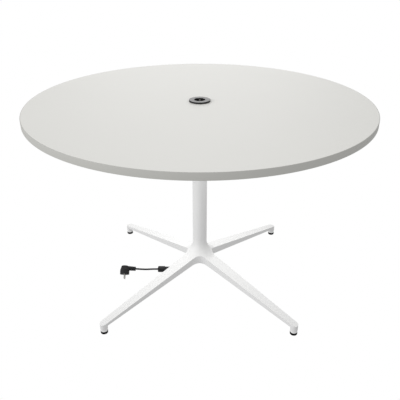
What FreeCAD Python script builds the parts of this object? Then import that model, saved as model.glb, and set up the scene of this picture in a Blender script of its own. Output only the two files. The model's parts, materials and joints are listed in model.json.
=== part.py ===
import FreeCAD, Part
import math
import os

from FreeCAD import Rotation, Vector

# Round conference table with a power socket in its top, on a column and a four-legged star base.
# Millimetres, +Z up, origin on the floor under the column's axis.

# Cuts run this far past the faces that they open
overrun = 1.0

# Fits
seat_gap = 0.3
slip_gap = 0.1
thread_gap = 0.1
press_gap = 0.05

# Table top
table_height = 750.0
top_diameter = 1200.0
top_thickness = 22.5
laminate_thickness = 0.8
band_thickness = 2.0
band_edge_radius = 1.0

# Power unit
unit_diameter = 75.0
unit_proud_height = 6.0
barrel_diameter = 46.0
barrel_wall = 2.0
barrel_ledge = 1.0
barrel_length = 42.0
unit_hole_gap = 1.0
trim_thickness = 1.5
trim_proud_height = 0.3
trim_lip_width = 0.7
well_diameter = 39.5
well_depth = 17.5
well_floor = 3.0
pin_diameter = 4.8
pin_spacing = 19.0
pin_hole_gap = 0.2
post_wall = 1.5
contact_wall = 1.1
contact_length = 14.0
clip_width = 5.4
clip_thickness = 1.0
clip_stand_off = 0.75
clip_below_rim = 4.0
clip_slot_gap = 0.2
cap_flange = 2.0
cap_plug = 3.0
nut_diameter = 62.0
nut_notch_width = 6.0
nut_notch_depth = 3.0
nut_notch_count = 6

# Cable inside the column, and its conductors
cable_diameter = 7.0
cable_hole_gap = 0.1
cable_above_cap = 3.0
core_diameter = 1.8
core_spread_radius = 2.2
core_straight = 2.5
earth_core_angle = 120.0

# Spider under the top
spider_thickness = 8.0
spider_arm_length = 366.0
spider_root_half_width = 24.0
spider_tip_radius = 16.0
spider_corner_radius = 40.0
spider_disc_diameter = 130.0
spider_bore_diameter = 66.0
screw_radii_shares = [0.36, 0.68, 1.0]
screw_diameter = 4.5
screw_head_diameter = 9.0
screw_head_height = 3.0
screw_bite_length = 14.0
screw_hole_gap = 0.25

# Column
column_diameter = 55.0
column_wall = 2.5
column_foot_z = 190.0
flange_diameter = 120.0
flange_thickness = 8.0
flange_bolt_circle_diameter = 90.0
flange_bolt_count = 4
lower_plate_thickness = 10.0
lower_plate_lift = 1.0

# M8 bolts of the flange and of the hub
bolt_diameter = 8.0
bolt_hole_gap = 0.3
bolt_head_flats = 13.0
bolt_head_height = 5.3
bolt_end_margin = 1.0
washer_diameter = 16.0
washer_thickness = 1.6

# Star base
leg_count = 4
first_leg_angle = 45.0
foot_circle_radius = 478.0
leg_root_half_width = 24.5
leg_tip_radius = 13.5
leg_corner_radius = 42.0
leg_top_at_axis = 135.8
leg_top_at_foot = 43.9
leg_side_at_axis = 31.8
leg_side_at_foot = 11.4
hub_underside_z = 99.0
neck_start_z = 178.0
spigot_length = 40.0
leg_wall = 4.0
leg_skin = 4.5
leg_rib = 4.0
leg_cell_count = 3
leg_hollow_start = 62.0
leg_hollow_end_margin = 10.0
hub_bolt_circle_diameter = 32.0
hub_bolt_count = 3
hub_bolt_first_angle = 90.0
hub_pocket_diameter = 52.0
hub_pocket_roof_z = 140.0
cable_way_diameter = 14.0

# Cover under the hub, the junction block on it and the cord's way out
cover_diameter = 66.0
cover_thickness = 2.5
cover_recess = 4.0
cover_screw_circle_diameter = 59.0
cover_screw_count = 3
cover_screw_first_angle = 30.0
cover_screw_diameter = 3.0
cover_screw_head_diameter = 5.5
cover_screw_head_height = 1.2
cover_screw_length = 9.0
junction_width = 25.0
junction_front = 12.5
junction_back = 21.5
junction_height = 23.5
junction_bore_depth = 5.0
outlet_y = 14.0
bush_neck_diameter = 12.0
bush_flange_diameter = 18.0
bush_flange_thickness = 2.0
bush_boot_length = 20.0
bush_boot_root_radius = 7.0
bush_boot_end_radius = 4.8

# Levelling feet
pad_diameter = 26.5
pad_height = 10.0
pad_edge_radius = 2.0
pad_bore_depth = 6.5
collar_diameter = 25.0
collar_height = 9.4
collar_flats = 22.0
collar_flat_height = 5.0
stud_diameter = 10.0
stud_journal_diameter = 8.0
stud_top_z = 38.0
insert_diameter = 14.0
insert_length = 18.0
insert_room = 1.5
foot_names = ["back_right", "back_left", "front_left", "front_right"]

# Supply lead
lead_diameter = 7.0
plug_back_x = -311.0
plug_back_y = 3.3
plug_tilt_angle = 45.0
plug_diameter = 38.0
plug_length = 36.0
plug_back_diameter = 27.0
plug_taper_length = 18.0
plug_back_radius = 5.0
plug_pin_length = 19.0
plug_pin_root = 12.0
plug_earth_width = 5.0
plug_earth_thickness = 1.0
plug_earth_length = 13.0
plug_earth_depth = 1.6
boot_root_radius = 9.5
boot_end_radius = 8.5
boot_length = 45.0
boot_from_back = 10.0
boot_turn_angle = -23.3
coupler_start_x = -178.0
coupler_axis_y = 31.0
coupler_axis_z = 10.0
socket_length = 30.0
socket_width = 22.0
socket_height = 20.0
socket_end_radius = 5.0
connector_length = 28.0
connector_width = 19.0
connector_height = 17.0
coupler_edge_radius = 4.5
connector_boot_length = 18.0
connector_boot_root_radius = 7.5
connector_boot_end_radius = 5.0
coupler_pin_diameter = 3.0
coupler_pin_spacing = 5.5
coupler_pin_length = 11.0
coupler_pin_root = 6.0
coupler_pin_count = 3
sleeve_wall = 0.6
sleeve_length = 14.0
coil_centre_x = 0.0
coil_centre_y = 150.0
coil_outer_radius = 44.0
coil_layer_count = 4
coil_start_angle = 180.0
coil_end_angle = 330.0
coil_whole_turns = 7
coil_pitch = 8.3
coil_layer_step = 8.5
coil_run_in = 27.0
tie_angle = 90.0
tie_width = 12.0
tie_thickness = 0.8
tie_gap = 0.3

# Points of the lead's free stretches, from plug to coupler, from coupler to coil and from hub to coil
plug_route = [
    (-255.0, 13.3, 22.1),
    (-228.0, 21.5, 14.5),
    (-200.0, 31.0, 10.0),
]
connector_route = [
    (-84.5, 31.0, 9.0),
    (-68.3, 37.8, 6.5),
    (-55.9, 50.2, 4.6),
    (-48.5, 66.5, 3.6),
    (-46.8, 84.0, 3.5),
    (-45.0, 103.0, 4.1),
]
hub_route = [
    (0.0, 14.0, 67.2),
    (0.0, 22.9, 51.9),
    (0.0, 38.2, 43.0),
    (9.0, 70.0, 37.0),
]
arc_share = 0.45
way_step_share = 0.02
boot_root_share = 0.4

# Heights and radii that follow from the sizes above
top_underside = table_height - top_thickness
core_bottom = top_underside + laminate_thickness
core_top = table_height - laminate_thickness
top_radius = top_diameter / 2
core_radius = top_radius - band_thickness
barrel_radius = barrel_diameter / 2
barrel_bottom = table_height - barrel_length
unit_top = table_height + unit_proud_height
unit_hole_radius = barrel_radius + unit_hole_gap
trim_bottom = unit_top - trim_thickness
trim_radius = unit_diameter / 2 - trim_lip_width
well_radius = well_diameter / 2
well_floor_z = unit_top - well_depth
insert_seat_z = well_floor_z - well_floor
barrel_bore_radius = barrel_radius - barrel_wall
ledge_radius = barrel_bore_radius - barrel_ledge
contact_radius = pin_diameter / 2 + pin_hole_gap + contact_wall
spider_bottom = top_underside - spider_thickness
flange_bottom = spider_bottom - flange_thickness
column_radius = column_diameter / 2
column_bore_radius = column_radius - column_wall
spigot_radius = column_bore_radius - slip_gap
spigot_top = column_foot_z + spigot_length
lower_plate_bottom = spigot_top + lower_plate_lift
lower_plate_top = lower_plate_bottom + lower_plate_thickness
bolt_radius = bolt_diameter / 2
tapped_radius = bolt_radius + thread_gap
bolt_hole_radius = bolt_radius + bolt_hole_gap
leg_slope = (leg_top_at_axis - leg_top_at_foot) / foot_circle_radius
leg_bottom_at_axis = leg_top_at_axis - leg_side_at_axis
leg_bottom_at_foot = leg_top_at_foot - leg_side_at_foot
under_slope = (leg_bottom_at_axis - leg_bottom_at_foot) / foot_circle_radius
cover_seat_z = hub_underside_z + cover_recess
cover_bottom = cover_seat_z - cover_thickness
junction_top = cover_seat_z + junction_height
cable_bottom = junction_top - junction_bore_depth
bush_bottom = cover_bottom - bush_flange_thickness
socket_face_x = coupler_start_x + socket_length
connector_end_x = socket_face_x + connector_length
cap_bottom = barrel_bottom - cap_flange
cable_top = barrel_bottom + cap_plug + cable_above_cap
collar_bottom = pad_height + seat_gap
collar_top = collar_bottom + collar_height
boss_bottom = collar_top + seat_gap
lead_radius = lead_diameter / 2
coil_floor = tie_thickness + tie_gap


def polar(radius, angle, z=0):
    turn = math.radians(angle)
    return Vector(radius * math.cos(turn), radius * math.sin(turn), z)


def disc(radius, bottom, top, at=Vector()):
    return Part.makeCylinder(radius, top - bottom, Vector(at.x, at.y, bottom))


def ring(outer, inner, bottom, top, at=Vector()):
    return disc(outer, bottom, top, at).cut(disc(inner, bottom - overrun, top + overrun, at))


def block(width, depth, bottom, top, at=Vector()):
    corner = Vector(at.x - width / 2, at.y - depth / 2, bottom)
    return Part.makeBox(width, depth, top - bottom, corner)


def hexagon(flats, bottom, top, at=Vector()):
    reach = flats / 2 / math.cos(math.radians(30))
    corners = [polar(reach, 60 * k, bottom) + Vector(at.x, at.y, 0) for k in range(7)]
    return Part.Face(Part.makePolygon(corners)).extrude(Vector(0, 0, top - bottom))


def circle_of(count, radius, first=0):
    return [polar(radius, first + 360 / count * k) for k in range(count)]


def cut_all(shape, tools):
    for tool in tools:
        shape = shape.cut(tool)
    return shape


def leg_angles():
    return [first_leg_angle + 360 / leg_count * k for k in range(leg_count)]


def star_outline(root_half_width, tip_radius, reach, corner_radius):
    # Tapered arms whose sides touch the round tips, with a round corner between neighbours
    span = math.hypot(reach, root_half_width)
    lean = math.asin(tip_radius / span) - math.atan2(root_half_width, reach)
    side = Vector(math.cos(lean), math.sin(lean), 0)
    out = Vector(-side.y, side.x, 0)
    half_gap = math.pi / leg_count
    tip_touch = Vector(reach, 0, 0) + out * tip_radius
    corner_run = root_half_width / (math.tan(half_gap) - math.tan(lean))
    corner = Vector(corner_run, corner_run * math.tan(half_gap), 0)
    opening = half_gap - lean
    corner_touch = corner + side * (corner_radius / math.tan(opening))
    far = corner.Length + corner_radius / math.sin(opening) - corner_radius
    edges = []
    for angle in leg_angles():
        turn = Rotation(Vector(0, 0, 1), angle)
        quarter = Rotation(Vector(0, 0, 1), angle + 360 / leg_count)
        left_touch = turn.multVec(corner_touch)
        left_tip = turn.multVec(tip_touch)
        right_tip = turn.multVec(Vector(tip_touch.x, -tip_touch.y, 0))
        right_touch = turn.multVec(Vector(corner_touch.x, -corner_touch.y, 0))
        next_touch = quarter.multVec(Vector(corner_touch.x, -corner_touch.y, 0))
        edges.append(Part.LineSegment(right_touch, right_tip).toShape())
        edges.append(Part.Arc(right_tip, polar(reach + tip_radius, angle), left_tip).toShape())
        edges.append(Part.LineSegment(left_tip, left_touch).toShape())
        middle = polar(far, angle + 180 / leg_count)
        edges.append(Part.Arc(left_touch, middle, next_touch).toShape())
    return Part.Face(Part.Wire(edges))


def pyramid(apex, slope):
    # A roof that falls away along each leg
    run = apex / slope
    corner_reach = run / math.cos(math.pi / leg_count)
    between = first_leg_angle + 180 / leg_count
    base = [polar(corner_reach, between + 360 / leg_count * k) for k in range(leg_count)]
    top = Vector(0, 0, apex)
    faces = [Part.Face(Part.makePolygon(base + base[:1]))]
    for here, there in zip(base, base[1:] + base[:1]):
        faces.append(Part.Face(Part.makePolygon([here, there, top, here])))
    return Part.makeSolid(Part.makeShell(faces))


# Table top

def screw_places():
    return [polar(spider_arm_length * share, angle) for angle in leg_angles() for share in screw_radii_shares]


def pilot_holes():
    tip = spider_bottom + spider_thickness + screw_bite_length + seat_gap
    return [disc(screw_diameter / 2 + press_gap, top_underside - overrun, tip, at) for at in screw_places()]


def make_top_core():
    core = ring(core_radius, unit_hole_radius, core_bottom, core_top)
    return cut_all(core, pilot_holes())


def make_top_laminate():
    return ring(core_radius, unit_hole_radius, core_top, table_height)


def make_backing_laminate():
    sheet = ring(core_radius, unit_hole_radius, top_underside, core_bottom)
    return cut_all(sheet, pilot_holes())


def make_edge_band():
    band = ring(top_radius, core_radius, top_underside, table_height)
    rims = [e for e in band.Edges if e.BoundBox.XLength > 2 * core_radius + band_thickness and e.Closed]
    return band.makeFillet(min(band_edge_radius, band_thickness / 2), rims)


# Power unit

def make_power_housing():
    flange = disc(unit_diameter / 2, table_height, unit_top - trim_proud_height)
    body = flange.fuse(disc(barrel_radius, barrel_bottom, table_height))
    body = body.cut(disc(trim_radius + slip_gap, trim_bottom, unit_top))
    body = body.cut(disc(barrel_bore_radius, insert_seat_z, unit_top))
    return body.cut(disc(ledge_radius, barrel_bottom - overrun, unit_top)).removeSplitter()


def make_power_trim_ring():
    return ring(trim_radius, well_radius, trim_bottom, unit_top)


def pin_places():
    return [Vector(side * pin_spacing / 2, 0, 0) for side in (-1, 1)]


def make_socket_insert():
    cup = disc(barrel_bore_radius - slip_gap, insert_seat_z, trim_bottom)
    cup = cup.cut(disc(well_radius, well_floor_z, unit_top))
    post_bottom = insert_seat_z - contact_length
    for at in pin_places():
        cup = cup.fuse(disc(contact_radius + slip_gap + post_wall, post_bottom, insert_seat_z, at))
    low = post_bottom - overrun
    for at in pin_places():
        cup = cup.cut(disc(pin_diameter / 2 + pin_hole_gap, low, well_floor_z + overrun, at))
        cup = cup.cut(disc(contact_radius + slip_gap, low, insert_seat_z, at))
    for side in (-1, 1):
        at = Vector(0, side * clip_middle(), 0)
        slot = clip_slot_gap * 2
        cup = cup.cut(block(clip_width + slot, clip_thickness + slot, insert_seat_z - overrun, unit_top, at))
    return cup.removeSplitter()


def clip_middle():
    return well_radius - clip_stand_off - clip_thickness / 2


def make_socket_earth_strap():
    bridge_depth = 2 * clip_middle() + clip_thickness
    strap = block(clip_width, bridge_depth, insert_seat_z - clip_thickness, insert_seat_z)
    for side in (-1, 1):
        at = Vector(0, side * clip_middle(), 0)
        bottom = insert_seat_z - clip_thickness
        strap = strap.fuse(block(clip_width, clip_thickness, bottom, unit_top - clip_below_rim, at))
    return strap.removeSplitter()


def make_socket_contacts():
    bottom = insert_seat_z - contact_length
    bore = pin_diameter / 2 + slip_gap
    floor = bottom + contact_wall
    sleeves = []
    for at in pin_places():
        sleeve = disc(contact_radius, bottom, insert_seat_z, at)
        sleeves.append(sleeve.cut(disc(bore, floor, insert_seat_z + overrun, at)))
    return Part.makeCompound(sleeves)


def make_power_rear_cap():
    cap = disc(barrel_radius, cap_bottom, barrel_bottom)
    cap = cap.fuse(disc(ledge_radius - slip_gap, barrel_bottom, barrel_bottom + cap_plug))
    hole = disc(cable_diameter / 2 + cable_hole_gap, cap_bottom - overrun, cable_top)
    return cap.cut(hole).removeSplitter()


def make_power_clamp_nut():
    nut = ring(nut_diameter / 2, barrel_radius + thread_gap, spider_bottom, top_underside)
    middle = (nut_diameter - nut_notch_depth) / 2
    for angle in [360 / nut_notch_count * k for k in range(nut_notch_count)]:
        deep = nut_notch_depth + overrun
        notch = block(deep, nut_notch_width, spider_bottom - overrun, top_underside + overrun)
        notch.translate(Vector(middle + overrun / 2, 0, 0))
        notch.rotate(Vector(), Vector(0, 0, 1), angle)
        nut = nut.cut(notch)
    return nut


def make_power_cores():
    # Two conductors go to the pole sleeves and the third to the earth strap
    post_end = Vector(0, 0, insert_seat_z - contact_length)
    strap_end = Vector(0, clip_middle() / 2, insert_seat_z - clip_thickness)
    left, right = pin_places()
    ends = [(0, right + post_end), (earth_core_angle, strap_end), (180, left + post_end)]
    rise = Vector(0, 0, core_straight)
    cores = []
    for angle, target in ends:
        start = polar(core_spread_radius, angle, cable_top)
        cores.append(tube([start, start + rise, target - rise, target], core_diameter)[0])
    return Part.makeCompound(cores)


def make_power_cable():
    return disc(cable_diameter / 2, cable_bottom, cable_top)


# Spider and column

def flange_bolt_places():
    return circle_of(flange_bolt_count, flange_bolt_circle_diameter / 2)


def make_top_spider():
    outline = star_outline(spider_root_half_width, spider_tip_radius, spider_arm_length, spider_corner_radius)
    outline.translate(Vector(0, 0, spider_bottom))
    plate = outline.extrude(Vector(0, 0, spider_thickness))
    plate = plate.fuse(disc(spider_disc_diameter / 2, spider_bottom, top_underside))
    plate = plate.cut(disc(spider_bore_diameter / 2, spider_bottom - overrun, top_underside + overrun))
    holes = [(tapped_radius, at) for at in flange_bolt_places()]
    holes += [(screw_diameter / 2 + screw_hole_gap, at) for at in screw_places()]
    drills = [disc(radius, spider_bottom - overrun, top_underside + overrun, at) for radius, at in holes]
    return cut_all(plate, drills).removeSplitter()


def make_spider_screws():
    screws = []
    for at in screw_places():
        head = disc(screw_head_diameter / 2, spider_bottom - screw_head_height, spider_bottom, at)
        rim = [e for e in head.Edges if e.BoundBox.ZMax < spider_bottom - screw_head_height / 2]
        head = head.makeFillet(screw_head_height / 2, rim)
        shank = disc(screw_diameter / 2, spider_bottom, top_underside + screw_bite_length, at)
        screws.append(head.fuse(shank).removeSplitter())
    return Part.makeCompound(screws)


def make_column_flange():
    flange = ring(flange_diameter / 2, column_radius + slip_gap, flange_bottom, spider_bottom)
    drills = [disc(bolt_hole_radius, flange_bottom - overrun, spider_bottom + overrun, at)
              for at in flange_bolt_places()]
    return cut_all(flange, drills)


def bolts(places, head_top, shank_top):
    made = []
    for at in places:
        head = hexagon(bolt_head_flats, head_top - bolt_head_height, head_top, at)
        made.append(head.fuse(disc(bolt_radius, head_top, shank_top, at)).removeSplitter())
    return Part.makeCompound(made)


def washers(places, top):
    return Part.makeCompound(
        [ring(washer_diameter / 2, bolt_hole_radius, top - washer_thickness, top, at) for at in places]
    )


def make_flange_bolts():
    return bolts(flange_bolt_places(), flange_bottom - washer_thickness, top_underside - bolt_end_margin)


def make_flange_washers():
    return washers(flange_bolt_places(), flange_bottom)


def make_column_tube():
    return ring(column_radius, column_bore_radius, column_foot_z, spider_bottom)


def hub_bolt_places():
    return circle_of(hub_bolt_count, hub_bolt_circle_diameter / 2, hub_bolt_first_angle)


def make_column_lower_plate():
    plate = ring(column_bore_radius - press_gap, cable_way_diameter / 2, lower_plate_bottom, lower_plate_top)
    drills = [disc(tapped_radius, lower_plate_bottom - overrun, lower_plate_top + overrun, at)
              for at in hub_bolt_places()]
    return cut_all(plate, drills)


def make_hub_bolts():
    return bolts(hub_bolt_places(), hub_pocket_roof_z - washer_thickness, lower_plate_top - bolt_end_margin)


def make_hub_washers():
    return washers(hub_bolt_places(), hub_pocket_roof_z)


# Star base

def neck():
    # The column's seat and spigot, and below them a flare that runs out along the legs
    lean = math.atan(leg_slope)
    drop = neck_start_z - (leg_top_at_axis - leg_slope * column_radius)
    radius = drop / (math.cos(lean) - leg_slope * (1 - math.sin(lean)))
    middle = Vector(column_radius + radius, 0, neck_start_z)
    foot = middle + Vector(-math.sin(lean), 0, -math.cos(lean)) * radius
    half = (math.pi / 2 - lean) / 2
    bend = middle + Vector(-math.cos(half), 0, -math.sin(half)) * radius
    low = hub_underside_z - overrun
    waist = Vector(column_radius, 0, neck_start_z)
    seat = Vector(column_radius, 0, column_foot_z)
    inner = Vector(spigot_radius, 0, column_foot_z)
    tip = Vector(spigot_radius, 0, spigot_top)
    corners = [tip, Vector(0, 0, spigot_top), Vector(0, 0, low), Vector(foot.x, 0, low), foot]
    edges = [Part.LineSegment(waist, seat).toShape(), Part.LineSegment(seat, inner).toShape()]
    edges += [Part.LineSegment(inner, tip).toShape()]
    edges += [Part.LineSegment(a, b).toShape() for a, b in zip(corners, corners[1:])]
    edges.append(Part.Arc(foot, bend, waist).toShape())
    return Part.Face(Part.Wire(edges)).revolve(Vector(), Vector(0, 0, 1), 360)


def leg_half_width(reach):
    return leg_root_half_width + (leg_tip_radius - leg_root_half_width) * reach / foot_circle_radius


def leg_hollows():
    # Cells between ribs, open beneath, under a skin of even thickness
    roof = pyramid(leg_top_at_axis - leg_skin, leg_slope)
    end = foot_circle_radius - leg_tip_radius - leg_hollow_end_margin
    step = (end - leg_hollow_start + leg_rib) / leg_cell_count
    cells = []
    for cell in range(leg_cell_count):
        near = leg_hollow_start + step * cell
        far = near + step - leg_rib
        wide = leg_half_width(near) - leg_wall
        narrow = leg_half_width(far) - leg_wall
        right = [Vector(near, -wide, 0), Vector(far, -narrow, 0)]
        corners = right + [Vector(far, narrow, 0), Vector(near, wide, 0)]
        face = Part.Face(Part.makePolygon(corners + corners[:1]))
        prism = face.extrude(Vector(0, 0, leg_top_at_axis))
        for angle in leg_angles():
            turned = prism.copy()
            turned.rotate(Vector(), Vector(0, 0, 1), angle)
            cells.append(turned.common(roof))
    return cells


def foot_places():
    return [polar(foot_circle_radius, angle) for angle in leg_angles()]


def make_star_base():
    outline = star_outline(leg_root_half_width, leg_tip_radius, foot_circle_radius, leg_corner_radius)
    prism = outline.extrude(Vector(0, 0, spigot_top + overrun))
    roof = pyramid(leg_top_at_axis, leg_slope)
    base = prism.common(roof.fuse(neck()))
    beneath = pyramid(leg_bottom_at_axis, under_slope)
    beneath = beneath.common(disc(top_diameter, -overrun, hub_underside_z))
    base = base.cut(beneath)
    for at in foot_places():
        base = base.fuse(disc(leg_tip_radius, boss_bottom, leg_top_at_axis, at).common(roof))
    base = cut_all(base, leg_hollows())
    for at in foot_places():
        room = boss_bottom + insert_length + insert_room
        base = base.cut(disc(insert_diameter / 2 + press_gap, boss_bottom - overrun, room, at))
    base = base.cut(disc(cover_diameter / 2 + seat_gap, hub_underside_z - overrun, cover_seat_z))
    base = base.cut(disc(hub_pocket_diameter / 2, hub_underside_z - overrun, hub_pocket_roof_z))
    base = base.cut(disc(cable_way_diameter / 2, hub_underside_z, spigot_top + overrun))
    for at in hub_bolt_places():
        base = base.cut(disc(bolt_hole_radius, hub_underside_z, spigot_top + overrun, at))
    for at in cover_screw_places():
        tip = cover_seat_z + cover_screw_length
        base = base.cut(disc(cover_screw_diameter / 2 + thread_gap, hub_underside_z, tip, at))
    return base.removeSplitter()


# Cover, junction block and cord outlet

def cover_screw_places():
    return circle_of(cover_screw_count, cover_screw_circle_diameter / 2, cover_screw_first_angle)


def outlet():
    return Vector(0, outlet_y, 0)


def make_hub_cover():
    plate = disc(cover_diameter / 2, cover_bottom, cover_seat_z)
    holes = [(bush_neck_diameter, outlet())] + [(cover_screw_diameter, at) for at in cover_screw_places()]
    drills = [disc(diameter / 2 + slip_gap, cover_bottom - overrun, cover_seat_z + overrun, at)
              for diameter, at in holes]
    return cut_all(plate, drills)


def make_hub_cover_screws():
    made = []
    for at in cover_screw_places():
        head = disc(cover_screw_head_diameter / 2, cover_bottom - cover_screw_head_height, cover_bottom, at)
        tip = cover_bottom + cover_screw_length
        made.append(head.fuse(disc(cover_screw_diameter / 2, cover_bottom, tip, at)).removeSplitter())
    return Part.makeCompound(made)


def make_junction_block():
    # The cable from the column comes in on top and the supply cord from beneath
    middle = Vector(0, (junction_back - junction_front) / 2, 0)
    body = block(junction_width, junction_front + junction_back, cover_seat_z, junction_top, middle)
    body = body.cut(disc(cable_diameter / 2 + cable_hole_gap, cable_bottom, junction_top + overrun))
    cord_top = cover_seat_z + junction_bore_depth
    return body.cut(disc(lead_radius + cable_hole_gap, cover_seat_z - overrun, cord_top, outlet()))


def make_cord_bush():
    bush = disc(bush_flange_diameter / 2, bush_bottom, cover_bottom, outlet())
    bush = bush.fuse(disc(bush_neck_diameter / 2, cover_bottom, cover_seat_z, outlet()))
    tip = Vector(0, outlet_y, bush_bottom - bush_boot_length)
    bush = bush.fuse(Part.makeCone(bush_boot_end_radius, bush_boot_root_radius, bush_boot_length, tip))
    bore = disc(lead_radius + cable_hole_gap, tip.z - overrun, cover_seat_z + overrun, outlet())
    return bush.cut(bore).removeSplitter()


# Levelling feet

def make_foot_inserts():
    bore = stud_diameter / 2 + thread_gap
    top = boss_bottom + insert_length
    return Part.makeCompound([ring(insert_diameter / 2, bore, boss_bottom, top, at) for at in foot_places()])


def make_pad(at):
    pad = disc(pad_diameter / 2, 0, pad_height, at)
    rims = [e for e in pad.Edges if len(e.Vertexes) == 1]
    pad = pad.makeFillet(pad_edge_radius, rims)
    bore_radius = stud_journal_diameter / 2 + slip_gap
    return pad.cut(disc(bore_radius, pad_height - pad_bore_depth, pad_height + overrun, at))


def make_stud(at):
    journal_bottom = pad_height - pad_bore_depth + seat_gap
    journal = disc(stud_journal_diameter / 2, journal_bottom, collar_bottom, at)
    return journal.fuse(disc(stud_diameter / 2, collar_bottom, stud_top_z, at)).removeSplitter()


def make_collar(at):
    collar = ring(collar_diameter / 2, stud_diameter / 2 + press_gap, collar_bottom, collar_top, at)
    middle = (collar_bottom + collar_top) / 2
    for side in (-1, 1):
        reach = Vector(at.x, at.y + side * (collar_flats / 2 + collar_diameter / 2), 0)
        low = middle - collar_flat_height / 2
        collar = collar.cut(block(collar_diameter, collar_diameter, low, low + collar_flat_height, reach))
    return collar


# Supply lead

def rounded_wire(points):
    # Straight runs joined by tangent arcs, each as large as its two runs allow
    edges = []
    radii = []
    start = points[0]
    for before, corner, after in zip(points, points[1:], points[2:]):
        into = (corner - before).normalize()
        out = (after - corner).normalize()
        half_turn = into.getAngle(out) / 2
        reach = arc_share * min((corner - before).Length, (after - corner).Length)
        radius = reach / math.tan(half_turn)
        inside = (out - into).normalize()
        middle = corner + inside * (radius / math.cos(half_turn) - radius)
        arc_start = corner - into * reach
        arc_end = corner + out * reach
        edges.append(Part.LineSegment(start, arc_start).toShape())
        edges.append(Part.Arc(arc_start, middle, arc_end).toShape())
        radii.append(radius)
        start = arc_end
    edges.append(Part.LineSegment(start, points[-1]).toShape())
    return Part.Wire(edges), radii


def pipe(path, diameter):
    first = path.OrderedEdges[0]
    start = path.OrderedVertexes[0].Point
    along = first.tangentAt(first.FirstParameter)
    profile = Part.Wire([Part.makeCircle(diameter / 2, start, along)])
    return path.makePipeShell([profile], True, False)


def tube(points, diameter):
    path, radii = rounded_wire(points)
    return pipe(path, diameter), path, radii


def biarc(start, start_way, end, end_way):
    # Two arcs that leave one point and reach the other along the given directions
    chord = end - start
    both = start_way + end_way
    spread = 2 * (1 - start_way.dot(end_way))
    along = chord.dot(both)
    reach = (math.sqrt(along * along + spread * chord.dot(chord)) - along) / spread
    first = start + start_way * reach
    second = end - end_way * reach
    middle = (first + second) * 0.5
    return [round_edge(start, first, middle), round_edge(middle, second, end)]


def round_edge(start, corner, end):
    base = (start + end) * 0.5
    half_chord = (end - start).Length / 2
    rise = corner - base
    half_turn = math.atan2(rise.Length, half_chord)
    top = base + rise.normalize() * (half_chord * math.tan(half_turn / 2))
    return Part.Arc(start, top, end).toShape()


def coil_turns():
    return coil_whole_turns + (coil_start_angle - coil_end_angle) / 360


def coil_point(turn):
    # Each layer spirals in or out, and the climb takes the half turn where the spiral reverses
    per_layer = coil_turns() / coil_layer_count
    phase = turn / per_layer
    layer = min(int(phase), coil_layer_count - 1)
    share = phase - layer
    depth = share if layer % 2 == 0 else 1 - share
    radius = coil_outer_radius - coil_pitch * per_layer * depth
    climbed = 0
    for change in range(1, coil_layer_count):
        ramp = min(max((turn - per_layer * change) * 2 + 0.5, 0), 1)
        climbed += ramp * ramp * (3 - 2 * ramp)
    angle = coil_start_angle - 360 * turn
    height = coil_floor + lead_radius + coil_layer_step * climbed
    return Vector(coil_centre_x, coil_centre_y, 0) + polar(radius, angle, height)


def coil_way(turn):
    low = max(turn - way_step_share, 0)
    high = min(turn + way_step_share, coil_turns())
    return (coil_point(high) - coil_point(low)).normalize()


def coil_path():
    quarters = math.ceil(coil_turns() * 4)
    stops = [coil_turns() * k / quarters for k in range(quarters + 1)]
    edges = []
    for here, there in zip(stops, stops[1:]):
        edges += biarc(coil_point(here), coil_way(here), coil_point(there), coil_way(there))
    first = coil_point(stops[0])
    last = coil_point(stops[-1])
    lead_in = Part.LineSegment(first - coil_way(stops[0]) * lead_diameter, first).toShape()
    lead_out = Part.LineSegment(last, last + coil_way(stops[-1]) * lead_diameter).toShape()
    return Part.Wire([lead_in] + edges + [lead_out])


def run_into_coil(turn, outwards):
    # The last two points of a free stretch, in line with the coil's straight end
    end = coil_point(turn)
    way = coil_way(turn) * outwards
    return [end + way * coil_run_in, end + way * lead_diameter]


def coil_self_gap(path):
    points = path.discretize(Distance=lead_radius)
    apart = 4 * lead_diameter
    least = None
    for k, here in enumerate(points):
        for other in range(k + math.ceil(apart / lead_radius), len(points)):
            gap = here.distanceToPoint(points[other]) - lead_diameter
            least = gap if least is None else min(least, gap)
    return least


def make_lead_coil():
    return pipe(coil_path(), lead_diameter)


def boot_end():
    out = Rotation(Vector(0, 0, 1), boot_turn_angle).multVec(Vector(boot_length, 0, boot_from_back))
    return Rotation(Vector(1, 0, 0), 90 + plug_tilt_angle).multVec(out) + plug_back()


def coupler_point(x):
    return Vector(x, coupler_axis_y, coupler_axis_z)


def plug_run_points():
    return [boot_end()] + [Vector(*p) for p in plug_route] + [coupler_point(coupler_start_x)]


def connector_run_points():
    start = coupler_point(connector_end_x + connector_boot_length)
    return [start] + [Vector(*p) for p in connector_route] + run_into_coil(0, -1)


def hub_run_points():
    start = Vector(0, outlet_y, cover_seat_z + junction_bore_depth)
    return [start] + [Vector(*p) for p in hub_route] + run_into_coil(coil_turns(), 1)


def make_lead_tie():
    across = coil_outer_radius - coil_pitch * coil_turns() / coil_layer_count / 2
    deep = coil_pitch * coil_turns() / coil_layer_count + lead_diameter + 2 * tie_gap
    tall = lead_diameter + coil_layer_step * (coil_layer_count - 1) + 2 * tie_gap
    outer = block(deep + 2 * tie_thickness, tie_width, 0, tall + 2 * tie_thickness)
    inner = block(deep, tie_width + 2 * overrun, tie_thickness, tall + tie_thickness)
    band = outer.cut(inner)
    band.translate(Vector(across, 0, 0))
    band.rotate(Vector(), Vector(0, 0, 1), tie_angle)
    band.translate(Vector(coil_centre_x, coil_centre_y, 0))
    return band


def plug_back():
    # The middle of the plug's back, at the height where the lower pin's tip is on the floor
    tilt = math.radians(plug_tilt_angle)
    tip_radius = pin_diameter / 2
    down = plug_length + plug_pin_length - tip_radius
    height = down * math.sin(tilt) + pin_spacing / 2 * math.cos(tilt) + tip_radius
    return Vector(plug_back_x, plug_back_y, height)


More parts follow.
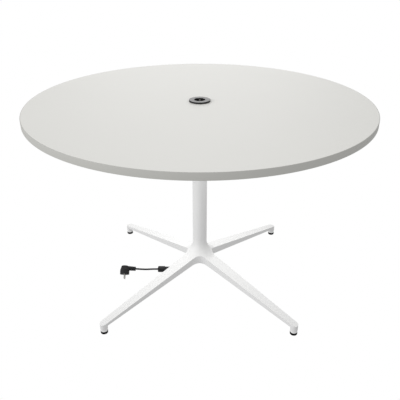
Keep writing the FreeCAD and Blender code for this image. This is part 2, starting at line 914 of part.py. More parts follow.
def lay_plug(shape):
    # The plug is drawn standing on its back and leans on its pins, which point to the front and down
    shape.rotate(Vector(), Vector(1, 0, 0), 90 + plug_tilt_angle)
    shape.translate(plug_back())
    return shape


def plug_shell():
    taper = Part.makeCone(plug_back_diameter / 2, plug_diameter / 2, plug_taper_length)
    shell = taper.fuse(disc(plug_diameter / 2, plug_taper_length, plug_length)).removeSplitter()
    rim = [e for e in shell.Edges if e.BoundBox.ZMax < plug_taper_length / 2 and len(e.Vertexes) == 1]
    return shell.makeFillet(plug_back_radius, rim)


def plug_pin_places():
    return [Vector(0, side * pin_spacing / 2, 0) for side in (-1, 1)]


def make_lead_plug_body():
    body = plug_shell()
    for at in plug_pin_places():
        root = plug_length - plug_pin_root
        body = body.cut(disc(pin_diameter / 2 + press_gap, root, plug_length + overrun, at))
    for side in (-1, 1):
        at = Vector(side * (plug_diameter / 2 - plug_earth_depth / 2 + overrun / 2), 0, 0)
        low = plug_length - plug_earth_length - seat_gap
        wide = plug_earth_width + 2 * seat_gap
        body = body.cut(block(plug_earth_depth + overrun, wide, low, plug_length + overrun, at))
    return lay_plug(body)


def make_lead_plug_pins():
    made = []
    for at in plug_pin_places():
        tip = plug_length + plug_pin_length
        pin = disc(pin_diameter / 2, plug_length - plug_pin_root, tip - pin_diameter / 2, at)
        nose = Part.makeSphere(pin_diameter / 2, Vector(at.x, at.y, tip - pin_diameter / 2))
        made.append(pin.fuse(nose).removeSplitter())
    return lay_plug(Part.makeCompound(made))


def make_lead_plug_earth():
    strips = []
    groove_floor = plug_diameter / 2 - plug_earth_depth
    for side in (-1, 1):
        at = Vector(side * (groove_floor + plug_earth_thickness / 2 + press_gap), 0, 0)
        low = plug_length - plug_earth_length
        strips.append(block(plug_earth_thickness, plug_earth_width, low, plug_length, at))
    return lay_plug(Part.makeCompound(strips))


def make_lead_plug_boot():
    inside = plug_diameter / 2 * boot_root_share
    base = Vector(inside, 0, boot_from_back)
    boot = Part.makeCone(boot_root_radius, boot_end_radius, boot_length - inside, base, Vector(1, 0, 0))
    boot = boot.cut(plug_shell())
    boot.rotate(Vector(), Vector(0, 0, 1), boot_turn_angle)
    return lay_plug(boot)


def bar_along(start, length, deep, tall):
    # A bar along the coupler's axis with its four long edges rounded
    corner = Vector(start, coupler_axis_y - deep / 2, coupler_axis_z - tall / 2)
    bar = Part.makeBox(length, deep, tall, corner)
    long_edges = [e for e in bar.Edges if e.BoundBox.XLength > length / 2]
    return bar.makeFillet(coupler_edge_radius, long_edges)


def coupler_pin_places(x):
    middle = (coupler_pin_count - 1) / 2
    across = [coupler_pin_spacing * (k - middle) for k in range(coupler_pin_count)]
    return [coupler_point(x) + Vector(0, y, 0) for y in across]


def along_coupler(radius, start, end, at):
    return Part.makeCylinder(radius, end - start, Vector(start, at.y, at.z), Vector(1, 0, 0))


def make_lead_socket_body():
    body = bar_along(coupler_start_x, socket_length, socket_width, socket_height)
    rim = [e for e in body.Edges if e.BoundBox.XMax < coupler_start_x + socket_end_radius / 2]
    body = body.makeFillet(socket_end_radius, rim)
    hole = coupler_pin_diameter / 2 + slip_gap + sleeve_wall + press_gap
    for at in coupler_pin_places(socket_face_x):
        body = body.cut(along_coupler(hole, socket_face_x - sleeve_length, socket_face_x + overrun, at))
    return body


def make_lead_socket_contacts():
    bore = coupler_pin_diameter / 2 + slip_gap
    start = socket_face_x - sleeve_length
    sleeves = []
    for at in coupler_pin_places(socket_face_x):
        sleeve = along_coupler(bore + sleeve_wall, start, socket_face_x, at)
        sleeves.append(sleeve.cut(along_coupler(bore, start + sleeve_wall, socket_face_x + overrun, at)))
    return Part.makeCompound(sleeves)


def make_lead_connector_body():
    body = bar_along(socket_face_x, connector_length, connector_width, connector_height)
    hole = coupler_pin_diameter / 2 + press_gap
    for at in coupler_pin_places(socket_face_x):
        body = body.cut(along_coupler(hole, socket_face_x - overrun, socket_face_x + coupler_pin_root, at))
    return body


def make_lead_connector_pins():
    start = socket_face_x - coupler_pin_length
    end = socket_face_x + coupler_pin_root
    places = coupler_pin_places(socket_face_x)
    return Part.makeCompound([along_coupler(coupler_pin_diameter / 2, start, end, at) for at in places])


def make_lead_connector_boot():
    start = coupler_point(connector_end_x)
    return Part.makeCone(
        connector_boot_root_radius, connector_boot_end_radius, connector_boot_length, start, Vector(1, 0, 0)
    )


def make_parts():
    parts = {
        "top_core": make_top_core(),
        "top_laminate": make_top_laminate(),
        "backing_laminate": make_backing_laminate(),
        "edge_band": make_edge_band(),
        "power_housing": make_power_housing(),
        "power_trim_ring": make_power_trim_ring(),
        "socket_insert": make_socket_insert(),
        "socket_earth_strap": make_socket_earth_strap(),
        "socket_contacts": make_socket_contacts(),
        "power_rear_cap": make_power_rear_cap(),
        "power_clamp_nut": make_power_clamp_nut(),
        "power_cores": make_power_cores(),
        "power_cable": make_power_cable(),
        "top_spider": make_top_spider(),
        "spider_screws": make_spider_screws(),
        "column_flange": make_column_flange(),
        "flange_bolts": make_flange_bolts(),
        "flange_washers": make_flange_washers(),
        "column_tube": make_column_tube(),
        "column_lower_plate": make_column_lower_plate(),
        "hub_bolts": make_hub_bolts(),
        "hub_washers": make_hub_washers(),
        "star_base": make_star_base(),
        "hub_cover": make_hub_cover(),
        "hub_cover_screws": make_hub_cover_screws(),
        "junction_block": make_junction_block(),
        "cord_bush": make_cord_bush(),
        "foot_inserts": make_foot_inserts(),
        "lead_plug_body": make_lead_plug_body(),
        "lead_plug_boot": make_lead_plug_boot(),
        "lead_plug_pins": make_lead_plug_pins(),
        "lead_plug_earth": make_lead_plug_earth(),
        "lead_coil": make_lead_coil(),
        "lead_tie": make_lead_tie(),
        "lead_socket_body": make_lead_socket_body(),
        "lead_socket_contacts": make_lead_socket_contacts(),
        "lead_connector_body": make_lead_connector_body(),
        "lead_connector_pins": make_lead_connector_pins(),
        "lead_connector_boot": make_lead_connector_boot(),
    }
    for name, at in zip(foot_names, foot_places()):
        parts[name + "_pad"] = make_pad(at)
        parts[name + "_stud"] = make_stud(at)
        parts[name + "_collar"] = make_collar(at)
    lead_length = coil_path().Length
    runs = {
        "lead_plug_run": plug_run_points(),
        "lead_connector_run": connector_run_points(),
        "lead_hub_run": hub_run_points(),
    }
    for name, points in runs.items():
        solid, path, radii = tube(points, lead_diameter)
        parts[name] = solid
        lead_length += path.Length
        volume_share = solid.Volume / (math.pi * lead_radius ** 2 * path.Length)
        print(name, "radii", [round(r, 1) for r in radii], "volume share", round(volume_share, 4))
    print("coil turns", round(coil_turns(), 2), "least gap", round(coil_self_gap(coil_path()), 2))
    print("lead length", round(lead_length, 1))
    return parts


def main():
    os.makedirs("parts", exist_ok=True)
    for name, shape in make_parts().items():
        shape.exportStep("parts/" + name + ".step")
        state = "valid" if shape.isValid() else "NOT VALID"
        print(name, len(shape.Solids), "solids", round(shape.Volume), "mm3", state)


main()
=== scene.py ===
import json
import math

import bmesh
import bpy
from mathutils import Matrix, Vector


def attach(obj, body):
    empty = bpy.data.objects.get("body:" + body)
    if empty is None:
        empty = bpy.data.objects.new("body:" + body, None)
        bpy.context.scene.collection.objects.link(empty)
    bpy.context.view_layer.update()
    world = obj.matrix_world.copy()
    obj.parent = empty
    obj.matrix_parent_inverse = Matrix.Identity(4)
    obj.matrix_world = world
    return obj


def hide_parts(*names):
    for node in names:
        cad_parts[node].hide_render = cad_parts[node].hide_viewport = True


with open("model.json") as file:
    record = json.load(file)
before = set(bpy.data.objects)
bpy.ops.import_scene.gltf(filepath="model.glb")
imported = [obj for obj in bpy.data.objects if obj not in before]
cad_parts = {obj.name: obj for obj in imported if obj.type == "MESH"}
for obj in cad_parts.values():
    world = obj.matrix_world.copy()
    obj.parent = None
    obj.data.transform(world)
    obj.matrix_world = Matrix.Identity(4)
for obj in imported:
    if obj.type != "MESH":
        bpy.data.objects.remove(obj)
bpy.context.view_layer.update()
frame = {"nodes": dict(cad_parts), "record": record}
nodes = frame["nodes"]
record = frame["record"]
slotOf = {row["node"]: row["material_slot"] for row in record["subparts"]}
bodyOf = {node: body for body, names in record["behaviour"]["bodies"].items() for node in names}
millimetre = 0.001  # sizes of pieces are in millimetres, and angles in degrees
print("frame loaded:", len(nodes), "nodes")


# Shader groups

noiseSpan = (0.3, 0.7)  # nearly all values of a noise texture lie between these
noiseDetail = dict(Broad=4, Scale=2)
dustLook = dict(leastUp=0.2, patchScale=60, patchDetail=5, tone=(0.55, 0.53, 0.5), rough=0.9)
mixOfValues = dict(share=0, first=2, second=3, result=0)  # socket numbers of a Mix node
mixOfColours = dict(share=0, first=6, second=7, result=2)


def addNode(tree, kind, **values):
    node = tree.nodes.new(kind)
    for key, value in values.items():
        setattr(node, key, value)
    return node


def newGroup(name, inputs, outputs):
    group = bpy.data.node_groups.new(name, "ShaderNodeTree")
    for label, kind, value in inputs:
        socket = group.interface.new_socket(label, in_out="INPUT", socket_type=kind)
        socket.default_value = value
    for label, kind in outputs:
        group.interface.new_socket(label, in_out="OUTPUT", socket_type=kind)
    return group, addNode(group, "NodeGroupInput"), addNode(group, "NodeGroupOutput")


def spreadAround(tree, source, middle, half):  # maps noise to middle - half .. middle + half
    low = addNode(tree, "ShaderNodeMath", operation="SUBTRACT")
    high = addNode(tree, "ShaderNodeMath", operation="ADD")
    for node in (low, high):
        if isinstance(middle, (int, float)):
            node.inputs[0].default_value = middle
        else:
            tree.links.new(middle, node.inputs[0])
        tree.links.new(half, node.inputs[1])
    mapped = addNode(tree, "ShaderNodeMapRange")
    mapped.inputs["From Min"].default_value, mapped.inputs["From Max"].default_value = noiseSpan
    tree.links.new(source, mapped.inputs["Value"])
    tree.links.new(low.outputs[0], mapped.inputs["To Min"])
    tree.links.new(high.outputs[0], mapped.inputs["To Max"])
    return mapped.outputs["Result"]


def buildFineGrain():  # a moulded, coated or pressed face: mottled tone, uneven sheen, fine relief
    floats = "NodeSocketFloat"
    group, given, made = newGroup(
        "fineGrain",
        [("Tone", "NodeSocketColor", (0.8, 0.8, 0.8, 1)), ("Mottle", floats, 0.02),
         ("Broad", floats, 6), ("Scale", floats, 900), ("Rough", floats, 0.5),
         ("Spread", floats, 0.05)],
        [("Colour", "NodeSocketColor"), ("Roughness", floats), ("Height", floats)],
    )
    place = addNode(group, "ShaderNodeTexCoord")
    broad = addNode(group, "ShaderNodeTexNoise")
    fine = addNode(group, "ShaderNodeTexNoise")
    for noise, scale in ((broad, "Broad"), (fine, "Scale")):
        noise.inputs["Detail"].default_value = noiseDetail[scale]
        group.links.new(place.outputs["Object"], noise.inputs["Vector"])
        group.links.new(given.outputs[scale], noise.inputs["Scale"])
    shade = spreadAround(group, broad.outputs["Fac"], 1, given.outputs["Mottle"])
    tint = addNode(group, "ShaderNodeVectorMath", operation="SCALE")
    group.links.new(given.outputs["Tone"], tint.inputs["Vector"])
    group.links.new(shade, tint.inputs["Scale"])
    group.links.new(tint.outputs["Vector"], made.inputs["Colour"])
    sheen = spreadAround(group, fine.outputs["Fac"], given.outputs["Rough"],
                         given.outputs["Spread"])
    group.links.new(sheen, made.inputs["Roughness"])
    group.links.new(fine.outputs["Fac"], made.inputs["Height"])
    return group


def buildSettledDust(look):  # thin dust on faces that look up
    floats = "NodeSocketFloat"
    group, given, made = newGroup(
        "settledDust",
        [("Colour", "NodeSocketColor", (0.8, 0.8, 0.8, 1)), ("Roughness", floats, 0.5),
         ("Amount", floats, 0.1)],
        [("Colour", "NodeSocketColor"), ("Roughness", floats)],
    )
    shape = addNode(group, "ShaderNodeNewGeometry")
    split = addNode(group, "ShaderNodeSeparateXYZ")
    upward = addNode(group, "ShaderNodeMapRange")
    upward.inputs["From Min"].default_value = look["leastUp"]
    place = addNode(group, "ShaderNodeTexCoord")
    patches = addNode(group, "ShaderNodeTexNoise")
    patches.inputs["Scale"].default_value = look["patchScale"]
    patches.inputs["Detail"].default_value = look["patchDetail"]
    laid = addNode(group, "ShaderNodeMath", operation="MULTIPLY")
    share = addNode(group, "ShaderNodeMath", operation="MULTIPLY", use_clamp=True)
    group.links.new(shape.outputs["Normal"], split.inputs["Vector"])
    group.links.new(split.outputs["Z"], upward.inputs["Value"])
    group.links.new(place.outputs["Object"], patches.inputs["Vector"])
    group.links.new(upward.outputs["Result"], laid.inputs[0])
    group.links.new(patches.outputs["Fac"], laid.inputs[1])
    group.links.new(laid.outputs[0], share.inputs[0])
    group.links.new(given.outputs["Amount"], share.inputs[1])
    tint = addNode(group, "ShaderNodeMix", data_type="RGBA")
    tint.inputs[mixOfColours["second"]].default_value = (*look["tone"], 1)
    dull = addNode(group, "ShaderNodeMix", data_type="FLOAT")
    dull.inputs[mixOfValues["second"]].default_value = look["rough"]
    for mix, sockets, label in ((tint, mixOfColours, "Colour"), (dull, mixOfValues, "Roughness")):
        group.links.new(share.outputs[0], mix.inputs[sockets["share"]])
        group.links.new(given.outputs[label], mix.inputs[sockets["first"]])
        group.links.new(mix.outputs[sockets["result"]], made.inputs[label])
    return group


fineGrain = buildFineGrain()
settledDust = buildSettledDust(dustLook)
print("shader groups made")

# Materials, one for each slot

reliefDepth = 0.2
looks = {
    "decor_laminate": dict(tone=(0.855, 0.85, 0.815), mottle=0.004, broad=4, scale=2600,
                           rough=0.62, spread=0.04, bump=0.02),
    "chipboard": dict(tone=(0.52, 0.40, 0.27), mottle=0.25, broad=260, scale=900,
                      rough=0.85, spread=0.1, bump=0.4),
    "band_grey": dict(tone=(0.563, 0.561, 0.532), mottle=0.006, broad=9, scale=1800,
                      rough=0.5, spread=0.04, bump=0.03),
    "white_coated_steel": dict(tone=(0.78, 0.78, 0.78), mottle=0.004, broad=7, scale=1100,
                               rough=0.5, spread=0.04, bump=0.02),
    "white_coated_casting": dict(tone=(0.80, 0.80, 0.80), mottle=0.004, broad=7, scale=1000,
                                 rough=0.52, spread=0.04, bump=0.02),
    "black_plastic": dict(tone=(0.014, 0.014, 0.015), mottle=0.06, broad=30, scale=1700,
                          rough=0.55, spread=0.06, bump=0.08, dust=0.01, shine=0.25),
    "trim_grey": dict(tone=(0.20, 0.20, 0.20), mottle=0.02, broad=20, scale=1500,
                      rough=0.55, spread=0.05, bump=0.05),
    "zinc_steel": dict(tone=(0.60, 0.61, 0.63), mottle=0.08, broad=90, scale=700,
                       rough=0.34, spread=0.08, bump=0.15, metallic=1.0),
    "contact_brass": dict(tone=(0.68, 0.52, 0.25), mottle=0.08, broad=90, scale=700,
                          rough=0.32, spread=0.08, bump=0.1, metallic=1.0),
    "nickel_metal": dict(tone=(0.50, 0.49, 0.47), mottle=0.06, broad=90, scale=900,
                         rough=0.45, spread=0.06, bump=0.05, metallic=0.6),
    "pad_black": dict(tone=(0.010, 0.010, 0.010), mottle=0.08, broad=60, scale=1500,
                      rough=0.7, spread=0.06, bump=0.08, dust=0.01, shine=0.1),
    "collar_light": dict(tone=(0.86, 0.86, 0.86), mottle=0.006, broad=30, scale=1500,
                         rough=0.5, spread=0.04, bump=0.03),
    "lead_black": dict(tone=(0.014, 0.014, 0.015), mottle=0.08, broad=40, scale=1600,
                       rough=0.6, spread=0.06, bump=0.06, dust=0.01, shine=0.25),
    "cable_grey": dict(tone=(0.26, 0.26, 0.27), mottle=0.04, broad=40, scale=1500,
                       rough=0.55, spread=0.06, bump=0.1),
}


def makeMaterial(slot, look):
    material = bpy.data.materials.new(slot)
    material.use_nodes = True
    tree = material.node_tree
    tree.nodes.clear()
    output = addNode(tree, "ShaderNodeOutputMaterial")
    surface = addNode(tree, "ShaderNodeBsdfPrincipled")
    grain = addNode(tree, "ShaderNodeGroup", node_tree=fineGrain)
    dust = addNode(tree, "ShaderNodeGroup", node_tree=settledDust)
    relief = addNode(tree, "ShaderNodeBump")
    grain.inputs["Tone"].default_value = (*look["tone"], 1)
    for label in ("Mottle", "Broad", "Scale", "Rough", "Spread"):
        grain.inputs[label].default_value = look[label.lower()]
    dust.inputs["Amount"].default_value = look.get("dust", 0)
    relief.inputs["Strength"].default_value = look["bump"]
    relief.inputs["Distance"].default_value = reliefDepth * millimetre
    surface.inputs["Metallic"].default_value = look.get("metallic", 0)
    surface.inputs["Specular IOR Level"].default_value = look.get("shine", 0.5)
    tree.links.new(grain.outputs["Colour"], dust.inputs["Colour"])
    tree.links.new(grain.outputs["Roughness"], dust.inputs["Roughness"])
    tree.links.new(grain.outputs["Height"], relief.inputs["Height"])
    tree.links.new(dust.outputs["Colour"], surface.inputs["Base Color"])
    tree.links.new(dust.outputs["Roughness"], surface.inputs["Roughness"])
    tree.links.new(relief.outputs["Normal"], surface.inputs["Normal"])
    tree.links.new(surface.outputs["BSDF"], output.inputs["Surface"])
    return material


materials = {slot: makeMaterial(slot, look) for slot, look in looks.items()}
for node, obj in nodes.items():
    obj.data.materials.clear()
    obj.data.materials.append(materials[slotOf[node]])
print("materials made:", len(materials))


# Pieces

weldDistance = 0.001 * millimetre  # points closer than this become one
flatAngle = math.radians(0.05)  # faces as flat to each other as this become one
creaseAngle = math.radians(35)  # steeper edges stay sharp or are rounded
flatWeight = 90  # over 50, large flat faces keep their shading beside rounded edges
turnSteps = 128


def standFor(obj, *names):  # a piece that takes the place of CAD nodes and moves with their body
    obj.data.materials.clear()
    obj.data.materials.append(materials[slotOf[names[0]]])
    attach(obj, bodyOf[names[0]])
    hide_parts(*names)
    return obj


def addObject(name, data):
    obj = bpy.data.objects.new(name, data)
    bpy.context.scene.collection.objects.link(obj)
    return obj


def asObject(name, shape):
    mesh = bpy.data.meshes.new(name)
    shape.to_mesh(mesh)
    shape.free()
    mesh.shade_smooth()
    mesh.set_sharp_from_angle(angle=creaseAngle)
    return addObject(name, mesh)


def roundEdges(obj, width, segments=2):
    rounding = obj.modifiers.new("rounding", "BEVEL")
    rounding.width = width * millimetre
    rounding.segments = segments
    rounding.profile = 0.5
    rounding.limit_method = "ANGLE"
    rounding.angle_limit = creaseAngle
    rounding.use_clamp_overlap = True
    rounding.harden_normals = True
    shading = obj.modifiers.new("shading", "WEIGHTED_NORMAL")
    shading.weight = flatWeight
    shading.keep_sharp = True
    return obj


def bevelEdges(shape, edges, width, segments):
    bmesh.ops.bevel(shape, geom=edges, offset=width * millimetre, affect="EDGES",
                    segments=segments, profile=0.5, material=-1)


def lathe(outline, steps=turnSteps, place=Matrix()):  # (radius, height) corners turned about Z
    shape = bmesh.new()
    corners = [shape.verts.new((radius * millimetre, 0, height * millimetre))
               for radius, height in outline]
    sides = [shape.edges.new(pair) for pair in zip(corners, corners[1:] + corners[:1])]
    bmesh.ops.spin(shape, geom=corners + sides, cent=(0, 0, 0), axis=(0, 0, 1),
                   angle=2 * math.pi, steps=steps, use_merge=True, use_duplicate=False)
    bmesh.ops.remove_doubles(shape, verts=shape.verts, dist=weldDistance)
    bmesh.ops.dissolve_degenerate(shape, edges=shape.edges, dist=weldDistance)
    bmesh.ops.recalc_face_normals(shape, faces=shape.faces)
    bmesh.ops.transform(shape, matrix=place, verts=shape.verts)
    return shape


def ring(inner, outer, bottom, top, steps=turnSteps):
    return lathe([(inner, bottom), (outer, bottom), (outer, top), (inner, top)], steps)


def mergedCopy(node):  # the CAD node's own shape as one smooth mesh
    shape = bmesh.new()
    shape.from_mesh(nodes[node].data)
    bmesh.ops.remove_doubles(shape, verts=shape.verts, dist=weldDistance)
    bmesh.ops.dissolve_limit(shape, angle_limit=flatAngle, verts=shape.verts, edges=shape.edges)
    return shape


# Table top

tableTop = dict(holeRadius=24.0, laminateRadius=598.0, radius=600.0, bottom=727.5, core=728.3,
                laminate=749.2, top=750.0, edge=1.0, edgeSteps=4, steps=256)


def makeTableTop(size):
    hole, inside, outside = size["holeRadius"], size["laminateRadius"], size["radius"]
    bottom, top, steps = size["bottom"], size["top"], size["steps"]
    upper = ring(hole, inside, size["laminate"], top, steps)
    standFor(asObject("topLaminate", upper), "top_laminate")
    lower = ring(hole, inside, bottom, size["core"], steps)
    standFor(asObject("backingLaminate", lower), "backing_laminate")
    band = ring(inside, outside, bottom, top, steps)
    middle = (inside + outside) / 2 * millimetre
    rims = [edge for edge in band.edges
            if all(vert.co.xy.length > middle for vert in edge.verts)
            and abs(edge.verts[0].co.z - edge.verts[1].co.z) < millimetre]
    bevelEdges(band, rims, size["edge"], size["edgeSteps"])
    standFor(asObject("edgeBand", band), "edge_band")


makeTableTop(tableTop)
print("table top made")

# Power unit

powerUnit = dict(radius=37.5, flangeTop=755.7, tableTop=750.0, pocketRadius=36.9,
                 pocketFloor=754.5, boreRadius=21.0, seat=735.5, ledgeRadius=20.0,
                 barrelRadius=23.0, barrelBottom=708.0, rounding=0.35)
trimRing = dict(radius=36.8, well=19.75, bottom=754.5, top=756.0, rounding=0.5, roundSteps=3)


def makePowerUnit(unit, trim):
    housing = lathe([
        (unit["ledgeRadius"], unit["barrelBottom"]), (unit["barrelRadius"], unit["barrelBottom"]),
        (unit["barrelRadius"], unit["tableTop"]), (unit["radius"], unit["tableTop"]),
        (unit["radius"], unit["flangeTop"]), (unit["pocketRadius"], unit["flangeTop"]),
        (unit["pocketRadius"], unit["pocketFloor"]), (unit["boreRadius"], unit["pocketFloor"]),
        (unit["boreRadius"], unit["seat"]), (unit["ledgeRadius"], unit["seat"]),
    ])
    standFor(roundEdges(asObject("powerHousing", housing), unit["rounding"]), "power_housing")
    cover = asObject("trimRing", ring(trim["well"], trim["radius"], trim["bottom"], trim["top"]))
    standFor(roundEdges(cover, trim["rounding"], trim["roundSteps"]), "power_trim_ring")


makePowerUnit(powerUnit, trimRing)
print("power unit made")

# Column

column = dict(radius=27.5, bore=25.0, bottom=190.0, top=719.5)


def makeColumn(size):
    tube = ring(size["bore"], size["radius"], size["bottom"], size["top"])
    standFor(asObject("column", tube), "column_tube")


makeColumn(column)
print("column made")

# Pieces that keep the CAD shape, with softer edges: node and edge radius

softened = {
    "star_base": 1.4, "socket_insert": 0.25, "socket_earth_strap": 0.2, "top_spider": 0.6,
    "column_flange": 0.6, "power_clamp_nut": 0.5, "power_rear_cap": 0.4, "hub_cover": 0.3,
    "cord_bush": 0.4, "spider_screws": 0.2, "flange_bolts": 0.3, "flange_washers": 0.2,
    "hub_cover_screws": 0.2, "lead_plug_body": 0.6, "lead_plug_earth": 0.15,
    "lead_plug_pins": 0.15, "lead_socket_body": 0.4, "lead_connector_body": 0.4,
    "lead_connector_boot": 0.5, "lead_plug_boot": 0.5, "lead_tie": 0.15,
}
softenedFoot = {"_collar": 0.5, "_stud": 0.2}
footNames = ["back_right", "back_left", "front_left", "front_right"]
for footName in footNames:
    for ending, width in softenedFoot.items():
        softened[footName + ending] = width


def soften(node, width):
    return standFor(roundEdges(asObject(node + "Soft", mergedCopy(node)), width), node)


softPieces = {node: soften(node, width) for node, width in softened.items()}
print("softened pieces made:", len(softPieces))

# Feet

footPad = dict(circle=478.0, firstAngle=45.0, radius=13.25, height=10.0, bore=4.1, boreFloor=3.5,
               rounding=2.0, roundSteps=4, roundBeyond=8.2, steps=48)


def makePads(size):
    outline = [(0, 0), (size["radius"], 0), (size["radius"], size["height"]),
               (size["bore"], size["height"]), (size["bore"], size["boreFloor"]),
               (0, size["boreFloor"])]
    reach = size["circle"] * millimetre
    limit = size["roundBeyond"] * millimetre
    for turn, footName in enumerate(footNames):
        angle = math.radians(size["firstAngle"] + 360 / len(footNames) * turn)
        centre = Vector((reach * math.cos(angle), reach * math.sin(angle), 0))
        pad = lathe(outline, size["steps"], Matrix.Translation(centre))
        outer = [edge for edge in pad.edges
                 if len(edge.link_faces) == 2 and edge.calc_face_angle() > creaseAngle
                 and all((vert.co - centre).xy.length > limit for vert in edge.verts)]
        bevelEdges(pad, outer, size["rounding"], size["roundSteps"])
        standFor(asObject(footName + "Pad", pad), footName + "_pad")


makePads(footPad)
print("feet made")

# Supply lead: the cord's route repeats the CAD route

lead = dict(diameter=7.0, plugEnd=(-269.67, 8.82, 26.65), couplerStart=(-178.0, 31.0, 10.0),
            connectorEnd=(-102.0, 31.0, 10.0), hubStart=(0.0, 14.0, 108.0),
            hubExit=(0.0, 14.0, 98.5), plugSteps=16, hubSteps=5, roundSteps=5)
plugRoute = [(-255.0, 13.3, 22.1), (-228.0, 21.5, 14.5), (-200.0, 31.0, 10.0)]
connectorRoute = [(-84.5, 31.0, 9.0), (-68.3, 37.8, 6.5), (-55.9, 50.2, 4.6), (-48.5, 66.5, 3.6),
                  (-46.8, 84.0, 3.5), (-45.0, 103.0, 4.1)]
hubRoute = [(0.0, 14.0, 67.2), (0.0, 22.9, 51.9), (0.0, 38.2, 43.0), (9.0, 70.0, 37.0)]
coil = dict(centre=(0.0, 150.0), outerRadius=44.0, layers=4, startAngle=180.0, endAngle=330.0,
            wholeTurns=7, pitch=8.3, layerStep=8.5, climbTurns=0.5, floor=1.1, runIn=27.0,
            pointsPerTurn=24)


def coilPoint(turn, size, turns):
    perLayer = turns / size["layers"]
    layer = min(int(turn / perLayer), size["layers"] - 1)
    share = turn / perLayer - layer
    depth = share if layer % 2 == 0 else 1 - share
    radius = size["outerRadius"] - size["pitch"] * perLayer * depth
    climbed = 0
    for change in range(1, size["layers"]):
        ramp = min(max((turn - perLayer * change) / size["climbTurns"] + 0.5, 0), 1)
        climbed += ramp * ramp * (3 - 2 * ramp)  # eases in and out
    angle = math.radians(size["startAngle"] - 360 * turn)
    across, along = size["centre"]
    height = size["floor"] + lead["diameter"] / 2 + size["layerStep"] * climbed
    return Vector((across + radius * math.cos(angle), along + radius * math.sin(angle), height))


def coilRoute(size):  # from the end that comes from the coupler to the end that goes to the hub
    turns = size["wholeTurns"] + (size["startAngle"] - size["endAngle"]) / 360
    count = math.ceil(turns * size["pointsPerTurn"])
    route = [coilPoint(turns * k / count, size, turns) for k in range(count + 1)]
    before = route[0] - (route[1] - route[0]).normalized() * size["runIn"]
    after = route[-1] + (route[-1] - route[-2]).normalized() * size["runIn"]
    return [before] + route + [after]


def makeCord(name, route, steps):
    curve = bpy.data.curves.new(name, "CURVE")
    curve.dimensions = "3D"
    spline = curve.splines.new("NURBS")
    spline.points.add(len(route) - 1)
    for point, place in zip(spline.points, route):
        point.co = (*(Vector(place) * millimetre), 1)
    spline.order_u = 3
    spline.use_endpoint_u = True
    spline.resolution_u = steps
    curve.bevel_depth = lead["diameter"] / 2 * millimetre
    curve.bevel_resolution = lead["roundSteps"]
    curve.use_fill_caps = True
    return addObject(name, curve)


fullRoute = ([lead["hubStart"]] + hubRoute + coilRoute(coil)[::-1] + connectorRoute[::-1]
             + [lead["connectorEnd"]])
hubCord = makeCord("hubCord", fullRoute, lead["hubSteps"])
standFor(hubCord, "lead_hub_run", "lead_coil", "lead_connector_run")
shortRoute = [lead["couplerStart"]] + plugRoute[::-1] + [lead["plugEnd"]]
plugCord = makeCord("plugCord", shortRoute, lead["plugSteps"])
standFor(plugCord, "lead_plug_run")
print("lead made")

# Camera, lights and backdrop, in metres and watts

camera = dict(place=(0.016677, -1.671903, 1.241244), tilt=63.03193, turn=0.571496, lens=44.0404,
              sensor=36.0, shiftX=0.000576, shiftY=-0.018331)  # lens and sensor in millimetres
lights = {
    "left": dict(place=(-7.04, -2.11, 3.57), aim=(0, 0, 0.4), size=4.0, power=161),
    "leftFront": dict(place=(-5.62, -5.34, 2.37), aim=(0, 0, 0.4), size=4.0, power=50),
    "front": dict(place=(-3.39, -5.66, 4.93), aim=(0, 0, 0.4), size=4.0, power=49),
    "back": dict(place=(0, 7.30, 3.68), aim=(0, 0, 0.4), size=6.0, power=205),
    "underTop": dict(place=(0, 0, 0.70), aim=(0, 0, 0), size=1.0, power=2.4),  # lifts the shade
}
surroundings = dict(tone=(1, 1, 1), strength=0.5375, paper=(1, 1, 1))
backdrop = dict(reach=40, height=-0.012)  # lower than the feet when they are screwed out


def makeCamera(size):
    data = bpy.data.cameras.new("camera")
    data.sensor_width = size["sensor"]
    data.lens = size["lens"]
    data.shift_x = size["shiftX"]
    data.shift_y = size["shiftY"]
    data.dof.use_dof = False
    obj = addObject("camera", data)
    obj.location = size["place"]
    obj.rotation_euler = (math.radians(size["tilt"]), 0, math.radians(size["turn"]))
    bpy.context.scene.camera = obj


def makeLight(name, size):
    data = bpy.data.lights.new(name, "AREA")
    data.shape = "DISK"
    data.size = size["size"]
    data.energy = size["power"]
    obj = addObject(name, data)
    obj.location = size["place"]
    aim = Vector(size["aim"]) - Vector(size["place"])
    obj.rotation_euler = aim.to_track_quat("-Z", "Y").to_euler()
    obj.visible_camera = False


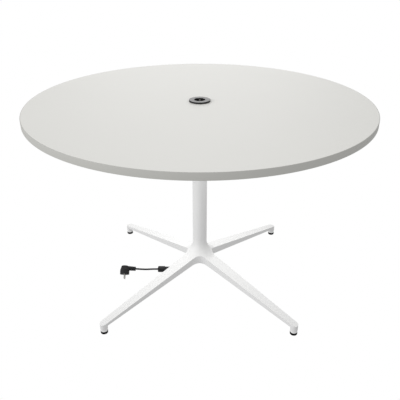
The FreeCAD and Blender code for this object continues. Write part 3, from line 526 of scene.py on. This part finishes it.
def makeBackdrop(size):  # a white ground that shows only from above and lights nothing
    shape = bmesh.new()
    bmesh.ops.create_grid(shape, x_segments=1, y_segments=1, size=size["reach"],
                          matrix=Matrix.Translation((0, 0, size["height"])))
    ground = asObject("ground", shape)
    paper = bpy.data.materials.new("paper")
    paper.use_nodes = True
    tree = paper.node_tree
    tree.nodes.clear()
    output = addNode(tree, "ShaderNodeOutputMaterial")
    glow = addNode(tree, "ShaderNodeEmission")
    clear = addNode(tree, "ShaderNodeBsdfTransparent")
    side = addNode(tree, "ShaderNodeNewGeometry")
    pick = addNode(tree, "ShaderNodeMixShader")
    tree.links.new(side.outputs["Backfacing"], pick.inputs["Fac"])
    tree.links.new(glow.outputs["Emission"], pick.inputs[1])
    tree.links.new(clear.outputs["BSDF"], pick.inputs[2])
    tree.links.new(pick.outputs["Shader"], output.inputs["Surface"])
    paper.cycles.emission_sampling = "NONE"  # as a light it would leave a grain on the legs
    ground.data.materials.append(paper)
    ground.visible_diffuse = False
    ground.visible_shadow = False
    ground.visible_glossy = False


def makeWorld(size):  # soft light all round, which the camera sees as white paper
    world = bpy.data.worlds.new("surroundings")
    world.use_nodes = True
    tree = world.node_tree
    sky = tree.nodes["Background"]
    sky.inputs["Color"].default_value = (*size["tone"], 1)
    sky.inputs["Strength"].default_value = size["strength"]
    paper = addNode(tree, "ShaderNodeBackground")
    paper.inputs["Color"].default_value = (*size["paper"], 1)
    ray = addNode(tree, "ShaderNodeLightPath")
    pick = addNode(tree, "ShaderNodeMixShader")
    tree.links.new(ray.outputs["Is Camera Ray"], pick.inputs["Fac"])
    tree.links.new(sky.outputs["Background"], pick.inputs[1])
    tree.links.new(paper.outputs["Background"], pick.inputs[2])
    tree.links.new(pick.outputs["Shader"], tree.nodes["World Output"].inputs["Surface"])
    bpy.context.scene.world = world


makeCamera(camera)
for lightName, light in lights.items():
    makeLight(lightName, light)
makeBackdrop(backdrop)
makeWorld(surroundings)
bpy.context.scene.view_settings.view_transform = "Standard"
print("camera and lights made")
